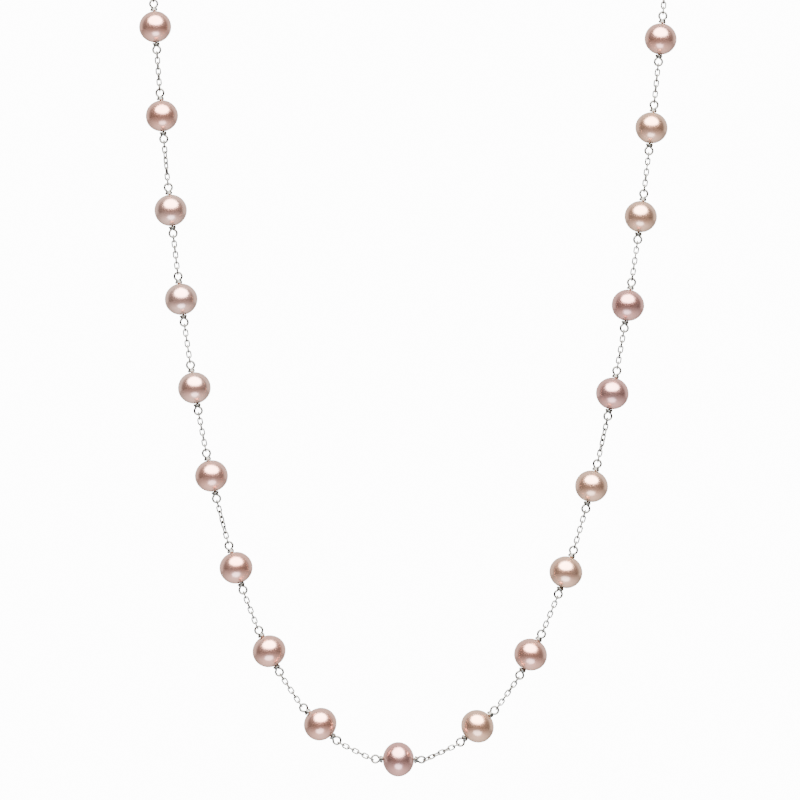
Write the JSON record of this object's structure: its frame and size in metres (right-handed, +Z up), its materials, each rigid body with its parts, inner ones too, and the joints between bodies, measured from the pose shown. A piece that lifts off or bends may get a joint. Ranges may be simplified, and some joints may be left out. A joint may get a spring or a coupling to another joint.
{
  "type": "pearl station necklace",
  "caption": "Station necklace: round pink pearls on wrapped-loop wires, joined by short cable-chain runs, with plain back chains and a spring-ring clasp.",
  "frame": {"origin": "middle of the neck opening, level with the shoulders, in the plane in which the front of the necklace hangs", "axes": "+Z up, +X to the viewer's right, +Y from the front towards the nape"},
  "size_m": [0.1017, 0.0358, 0.1752],
  "materials": {
    "pearl": "gloss",
    "silver": "polished"
  },
  "bodies": {
    "neck_chain": {"back_chain_left": "silver", "back_chain_right": "silver", "clasp_ring": "silver"},
    "station_left_9": {"wire_left_9": "silver"},
    "pearl_left_9": {"pearl_left_9": "pearl"},
    "run_left_9": {"run_left_9": "silver"},
    "station_left_8": {"wire_left_8": "silver"},
    "pearl_left_8": {"pearl_left_8": "pearl"},
    "run_left_8": {"run_left_8": "silver"},
    "station_left_7": {"wire_left_7": "silver"},
    "pearl_left_7": {"pearl_left_7": "pearl"},
    "run_left_7": {"run_left_7": "silver"},
    "station_left_6": {"wire_left_6": "silver"},
    "pearl_left_6": {"pearl_left_6": "pearl"},
    "run_left_6": {"run_left_6": "silver"},
    "station_left_5": {"wire_left_5": "silver"},
    "pearl_left_5": {"pearl_left_5": "pearl"},
    "run_left_5": {"run_left_5": "silver"},
    "station_left_4": {"wire_left_4": "silver"},
    "pearl_left_4": {"pearl_left_4": "pearl"},
    "run_left_4": {"run_left_4": "silver"},
    "station_left_3": {"wire_left_3": "silver"},
    "pearl_left_3": {"pearl_left_3": "pearl"},
    "run_left_3": {"run_left_3": "silver"},
    "station_left_2": {"wire_left_2": "silver"},
    "pearl_left_2": {"pearl_left_2": "pearl"},
    "run_left_2": {"run_left_2": "silver"},
    "station_left_1": {"wire_left_1": "silver"},
    "pearl_left_1": {"pearl_left_1": "pearl"},
    "run_left_1": {"run_left_1": "silver"},
    "station_centre": {"wire_centre": "silver"},
    "pearl_centre": {"pearl_centre": "pearl"},
    "station_right_9": {"wire_right_9": "silver"},
    "pearl_right_9": {"pearl_right_9": "pearl"},
    "run_right_9": {"run_right_9": "silver"},
    "station_right_8": {"wire_right_8": "silver"},
    "pearl_right_8": {"pearl_right_8": "pearl"},
    "run_right_8": {"run_right_8": "silver"},
    "station_right_7": {"wire_right_7": "silver"},
    "pearl_right_7": {"pearl_right_7": "pearl"},
    "run_right_7": {"run_right_7": "silver"},
    "station_right_6": {"wire_right_6": "silver"},
    "pearl_right_6": {"pearl_right_6": "pearl"},
    "run_right_6": {"run_right_6": "silver"},
    "station_right_5": {"wire_right_5": "silver"},
    "pearl_right_5": {"pearl_right_5": "pearl"},
    "run_right_5": {"run_right_5": "silver"},
    "station_right_4": {"wire_right_4": "silver"},
    "pearl_right_4": {"pearl_right_4": "pearl"},
    "run_right_4": {"run_right_4": "silver"},
    "station_right_3": {"wire_right_3": "silver"},
    "pearl_right_3": {"pearl_right_3": "pearl"},
    "run_right_3": {"run_right_3": "silver"},
    "station_right_2": {"wire_right_2": "silver"},
    "pearl_right_2": {"pearl_right_2": "pearl"},
    "run_right_2": {"run_right_2": "silver"},
    "station_right_1": {"wire_right_1": "silver"},
    "pearl_right_1": {"pearl_right_1": "pearl"},
    "run_right_1": {"run_right_1": "silver"},
    "clasp_trigger": {"clasp_trigger": "silver"}
  },
  "joints": [
    {"name": "clasp_trigger_pull", "type": "hinge", "parent": "neck_chain", "child": "clasp_trigger", "pos_m": [0, 0.031, 0.018], "axis": [0, 1, 0], "range_deg": [0, 40], "stiffness_Nm_per_rad": 0.003, "springref_deg": -20.05},
    {"name": "hang_left_9_station", "type": "hinge", "parent": "neck_chain", "child": "station_left_9", "pos_m": [-0.04829, 0, -0.0072], "axis": [-0.9968, 0, -0.0805], "range_deg": [-80, 80]},
    {"name": "hang_left_9_run", "type": "hinge", "parent": "station_left_9", "child": "run_left_9", "pos_m": [-0.04747, 0, -0.01732], "axis": [0.9968, 0, 0.0805], "range_deg": [-80, 80]},
    {"name": "hang_left_8_station", "type": "hinge", "parent": "run_left_9", "child": "station_left_8", "pos_m": [-0.04688, 0, -0.02405], "axis": [0.9954, 0, 0.096], "range_deg": [-80, 80]},
    {"name": "hang_left_8_run", "type": "hinge", "parent": "station_left_8", "child": "run_left_8", "pos_m": [-0.0459, 0, -0.03417], "axis": [-0.9954, 0, -0.096], "range_deg": [-80, 80]},
    {"name": "hang_left_7_station", "type": "hinge", "parent": "run_left_8", "child": "station_left_7", "pos_m": [-0.04508, 0, -0.04191], "axis": [-0.9931, 0, -0.1173], "range_deg": [-80, 80]},
    {"name": "hang_left_7_run", "type": "hinge", "parent": "station_left_7", "child": "run_left_7", "pos_m": [-0.04389, 0, -0.05202], "axis": [0.9931, 0, 0.1173], "range_deg": [-80, 80]},
    {"name": "hang_left_6_station", "type": "hinge", "parent": "run_left_7", "child": "station_left_6", "pos_m": [-0.04301, 0, -0.05872], "axis": [0.9896, 0, 0.1436], "range_deg": [-80, 80]},
    {"name": "hang_left_6_run", "type": "hinge", "parent": "station_left_6", "child": "run_left_6", "pos_m": [-0.04155, 0, -0.0688], "axis": [-0.9896, 0, -0.1436], "range_deg": [-80, 80]},
    {"name": "hang_left_5_station", "type": "hinge", "parent": "run_left_6", "child": "station_left_5", "pos_m": [-0.04047, 0, -0.07548], "axis": [-0.9838, 0, -0.1794], "range_deg": [-80, 80]},
    {"name": "hang_left_5_run", "type": "hinge", "parent": "station_left_5", "child": "run_left_5", "pos_m": [-0.03864, 0, -0.08552], "axis": [0.9838, 0, 0.1794], "range_deg": [-80, 80]},
    {"name": "hang_left_4_station", "type": "hinge", "parent": "run_left_5", "child": "station_left_4", "pos_m": [-0.03727, 0, -0.09214], "axis": [0.9731, 0, 0.2305], "range_deg": [-80, 80]},
    {"name": "hang_left_4_run", "type": "hinge", "parent": "station_left_4", "child": "run_left_4", "pos_m": [-0.03491, 0, -0.10208], "axis": [-0.9731, 0, -0.2305], "range_deg": [-80, 80]},
    {"name": "hang_left_3_station", "type": "hinge", "parent": "run_left_4", "child": "station_left_3", "pos_m": [-0.03283, 0, -0.10958], "axis": [-0.949, 0, -0.3152], "range_deg": [-80, 80]},
    {"name": "hang_left_3_run", "type": "hinge", "parent": "station_left_3", "child": "run_left_3", "pos_m": [-0.02961, 0, -0.11929], "axis": [0.949, 0, 0.3152], "range_deg": [-80, 80]},
    {"name": "hang_left_2_station", "type": "hinge", "parent": "run_left_3", "child": "station_left_2", "pos_m": [-0.02708, 0, -0.12556], "axis": [0.8903, 0, 0.4554], "range_deg": [-80, 80]},
    {"name": "hang_left_2_run", "type": "hinge", "parent": "station_left_2", "child": "run_left_2", "pos_m": [-0.02241, 0, -0.13469], "axis": [-0.8903, 0, -0.4554], "range_deg": [-80, 80]},
    {"name": "hang_left_1_station", "type": "hinge", "parent": "run_left_2", "child": "station_left_1", "pos_m": [-0.01859, 0, -0.14026], "axis": [-0.691, 0, -0.7228], "range_deg": [-80, 80]},
    {"name": "hang_left_1_run", "type": "hinge", "parent": "station_left_1", "child": "run_left_1", "pos_m": [-0.01117, 0, -0.14735], "axis": [0.691, 0, 0.7228], "range_deg": [-80, 80]},
    {"name": "hang_centre_station", "type": "hinge", "parent": "run_left_1", "child": "station_centre", "pos_m": [-0.00507, 0, -0.15027], "axis": [0, 0, 1], "range_deg": [-80, 80]},
    {"name": "hang_right_9_station", "type": "hinge", "parent": "neck_chain", "child": "station_right_9", "pos_m": [0.04821, 0, -0.00822], "axis": [-0.9967, 0, 0.0813], "range_deg": [-80, 80]},
    {"name": "hang_right_9_run", "type": "hinge", "parent": "station_right_9", "child": "run_right_9", "pos_m": [0.04739, 0, -0.01834], "axis": [0.9967, 0, -0.0813], "range_deg": [-80, 80]},
    {"name": "hang_right_8_station", "type": "hinge", "parent": "run_right_9", "child": "station_right_8", "pos_m": [0.04679, 0, -0.02507], "axis": [0.9953, 0, -0.0971], "range_deg": [-80, 80]},
    {"name": "hang_right_8_run", "type": "hinge", "parent": "station_right_8", "child": "run_right_8", "pos_m": [0.0458, 0, -0.03519], "axis": [-0.9953, 0, 0.0971], "range_deg": [-80, 80]},
    {"name": "hang_right_7_station", "type": "hinge", "parent": "run_right_8", "child": "station_right_7", "pos_m": [0.04508, 0, -0.04191], "axis": [-0.9931, 0, 0.1173], "range_deg": [-80, 80]},
    {"name": "hang_right_7_run", "type": "hinge", "parent": "station_right_7", "child": "run_right_7", "pos_m": [0.04389, 0, -0.05202], "axis": [0.9931, 0, -0.1173], "range_deg": [-80, 80]},
    {"name": "hang_right_6_station", "type": "hinge", "parent": "run_right_7", "child": "station_right_6", "pos_m": [0.04301, 0, -0.05872], "axis": [0.9896, 0, -0.1436], "range_deg": [-80, 80]},
    {"name": "hang_right_6_run", "type": "hinge", "parent": "station_right_6", "child": "run_right_6", "pos_m": [0.04155, 0, -0.0688], "axis": [-0.9896, 0, 0.1436], "range_deg": [-80, 80]},
    {"name": "hang_right_5_station", "type": "hinge", "parent": "run_right_6", "child": "station_right_5", "pos_m": [0.04047, 0, -0.07548], "axis": [-0.9838, 0, 0.1794], "range_deg": [-80, 80]},
    {"name": "hang_right_5_run", "type": "hinge", "parent": "station_right_5", "child": "run_right_5", "pos_m": [0.03864, 0, -0.08552], "axis": [0.9838, 0, -0.1794], "range_deg": [-80, 80]},
    {"name": "hang_right_4_station", "type": "hinge", "parent": "run_right_5", "child": "station_right_4", "pos_m": [0.03705, 0, -0.09313], "axis": [0.9722, 0, -0.2342], "range_deg": [-80, 80]},
    {"name": "hang_right_4_run", "type": "hinge", "parent": "station_right_4", "child": "run_right_4", "pos_m": [0.03466, 0, -0.10307], "axis": [-0.9722, 0, 0.2342], "range_deg": [-80, 80]},
    {"name": "hang_right_3_station", "type": "hinge", "parent": "run_right_4", "child": "station_right_3", "pos_m": [0.03283, 0, -0.10958], "axis": [-0.949, 0, 0.3152], "range_deg": [-80, 80]},
    {"name": "hang_right_3_run", "type": "hinge", "parent": "station_right_3", "child": "run_right_3", "pos_m": [0.02961, 0, -0.11929], "axis": [0.949, 0, -0.3152], "range_deg": [-80, 80]},
    {"name": "hang_right_2_station", "type": "hinge", "parent": "run_right_3", "child": "station_right_2", "pos_m": [0.02708, 0, -0.12556], "axis": [0.8903, 0, -0.4554], "range_deg": [-80, 80]},
    {"name": "hang_right_2_run", "type": "hinge", "parent": "station_right_2", "child": "run_right_2", "pos_m": [0.02241, 0, -0.13469], "axis": [-0.8903, 0, 0.4554], "range_deg": [-80, 80]},
    {"name": "hang_right_1_station", "type": "hinge", "parent": "run_right_2", "child": "station_right_1", "pos_m": [0.01859, 0, -0.14026], "axis": [-0.691, 0, 0.7228], "range_deg": [-80, 80]},
    {"name": "hang_right_1_run", "type": "hinge", "parent": "station_right_1", "child": "run_right_1", "pos_m": [0.01117, 0, -0.14735], "axis": [0.691, 0, -0.7228], "range_deg": [-80, 80]},
    {"name": "spin_left_9", "type": "hinge", "parent": "station_left_9", "child": "pearl_left_9", "pos_m": [-0.04788, 0, -0.01226], "axis": [0.0805, 0, -0.9968], "continuous": true},
    {"name": "spin_left_8", "type": "hinge", "parent": "station_left_8", "child": "pearl_left_8", "pos_m": [-0.04639, 0, -0.02911], "axis": [0.096, 0, -0.9954], "continuous": true},
    {"name": "spin_left_7", "type": "hinge", "parent": "station_left_7", "child": "pearl_left_7", "pos_m": [-0.04448, 0, -0.04696], "axis": [0.1173, 0, -0.9931], "continuous": true},
    {"name": "spin_left_6", "type": "hinge", "parent": "station_left_6", "child": "pearl_left_6", "pos_m": [-0.04228, 0, -0.06376], "axis": [0.1436, 0, -0.9896], "continuous": true},
    {"name": "spin_left_5", "type": "hinge", "parent": "station_left_5", "child": "pearl_left_5", "pos_m": [-0.03955, 0, -0.0805], "axis": [0.1794, 0, -0.9838], "continuous": true},
    {"name": "spin_left_4", "type": "hinge", "parent": "station_left_4", "child": "pearl_left_4", "pos_m": [-0.03609, 0, -0.09711], "axis": [0.2305, 0, -0.9731], "continuous": true},
    {"name": "spin_left_3", "type": "hinge", "parent": "station_left_3", "child": "pearl_left_3", "pos_m": [-0.03122, 0, -0.11444], "axis": [0.3152, 0, -0.949], "continuous": true},
    {"name": "spin_left_2", "type": "hinge", "parent": "station_left_2", "child": "pearl_left_2", "pos_m": [-0.02475, 0, -0.13012], "axis": [0.4554, 0, -0.8903], "continuous": true},
    {"name": "spin_left_1", "type": "hinge", "parent": "station_left_1", "child": "pearl_left_1", "pos_m": [-0.01488, 0, -0.14381], "axis": [0.7228, 0, -0.691], "continuous": true},
    {"name": "spin_centre", "type": "hinge", "parent": "station_centre", "child": "pearl_centre", "pos_m": [0, 0, -0.15027], "axis": [1, 0, 0], "continuous": true},
    {"name": "spin_right_9", "type": "hinge", "parent": "station_right_9", "child": "pearl_right_9", "pos_m": [0.0478, 0, -0.01328], "axis": [-0.0813, 0, -0.9967], "continuous": true},
    {"name": "spin_right_8", "type": "hinge", "parent": "station_right_8", "child": "pearl_right_8", "pos_m": [0.04629, 0, -0.03013], "axis": [-0.0971, 0, -0.9953], "continuous": true},
    {"name": "spin_right_7", "type": "hinge", "parent": "station_right_7", "child": "pearl_right_7", "pos_m": [0.04448, 0, -0.04696], "axis": [-0.1173, 0, -0.9931], "continuous": true},
    {"name": "spin_right_6", "type": "hinge", "parent": "station_right_6", "child": "pearl_right_6", "pos_m": [0.04228, 0, -0.06376], "axis": [-0.1436, 0, -0.9896], "continuous": true},
    {"name": "spin_right_5", "type": "hinge", "parent": "station_right_5", "child": "pearl_right_5", "pos_m": [0.03955, 0, -0.0805], "axis": [-0.1794, 0, -0.9838], "continuous": true},
    {"name": "spin_right_4", "type": "hinge", "parent": "station_right_4", "child": "pearl_right_4", "pos_m": [0.03585, 0, -0.0981], "axis": [-0.2342, 0, -0.9722], "continuous": true},
    {"name": "spin_right_3", "type": "hinge", "parent": "station_right_3", "child": "pearl_right_3", "pos_m": [0.03122, 0, -0.11444], "axis": [-0.3152, 0, -0.949], "continuous": true},
    {"name": "spin_right_2", "type": "hinge", "parent": "station_right_2", "child": "pearl_right_2", "pos_m": [0.02475, 0, -0.13012], "axis": [-0.4554, 0, -0.8903], "continuous": true},
    {"name": "spin_right_1", "type": "hinge", "parent": "station_right_1", "child": "pearl_right_1", "pos_m": [0.01488, 0, -0.14381], "axis": [-0.7228, 0, -0.691], "continuous": true}
  ]
}
